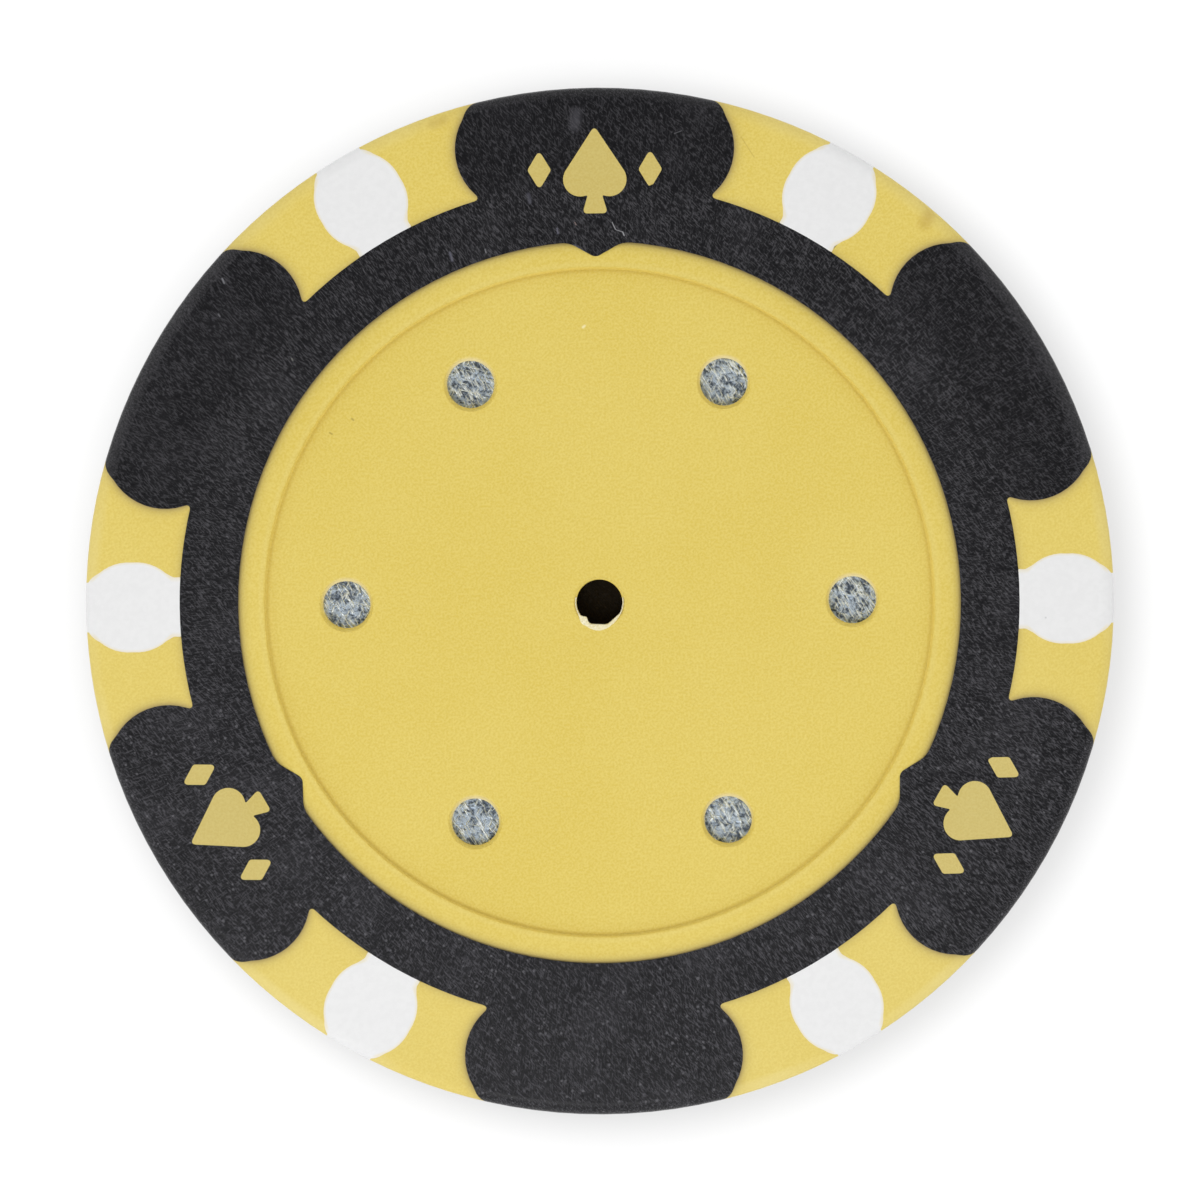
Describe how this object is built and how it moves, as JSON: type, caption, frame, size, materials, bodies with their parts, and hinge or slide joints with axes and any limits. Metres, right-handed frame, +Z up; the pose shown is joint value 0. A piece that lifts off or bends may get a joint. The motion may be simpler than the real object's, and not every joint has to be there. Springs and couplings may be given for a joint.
{
  "type": "poker chip",
  "caption": "Round moulded poker chip: steel weight in a yellow core with a label recess on each face, a black ring with pads over the rim, and white edge spots.",
  "frame": {"origin": "middle of the underside, on the chip's axis", "axes": "+Z up along the chip's axis, out of the upper face; +Y towards the middle of a pad with figures; +X towards a white spot"},
  "size_m": [0.039, 0.039, 0.0033],
  "materials": {
    "galvanised_steel": "galvanised, scuffed",
    "yellow_plastic": "filled plastic, fine matt grain",
    "black_plastic": "filled plastic, fine matt grain",
    "white_plastic": "smooth matt"
  },
  "bodies": {
    "root": {"steel_slug": "galvanised_steel", "centre_plug": "black_plastic", "yellow_core": "yellow_plastic", "black_frame": "black_plastic", "white_spot_1": "white_plastic", "white_spot_2": "white_plastic", "white_spot_3": "white_plastic", "white_spot_4": "white_plastic", "white_spot_5": "white_plastic", "white_spot_6": "white_plastic"}
  },
  "joints": []
}
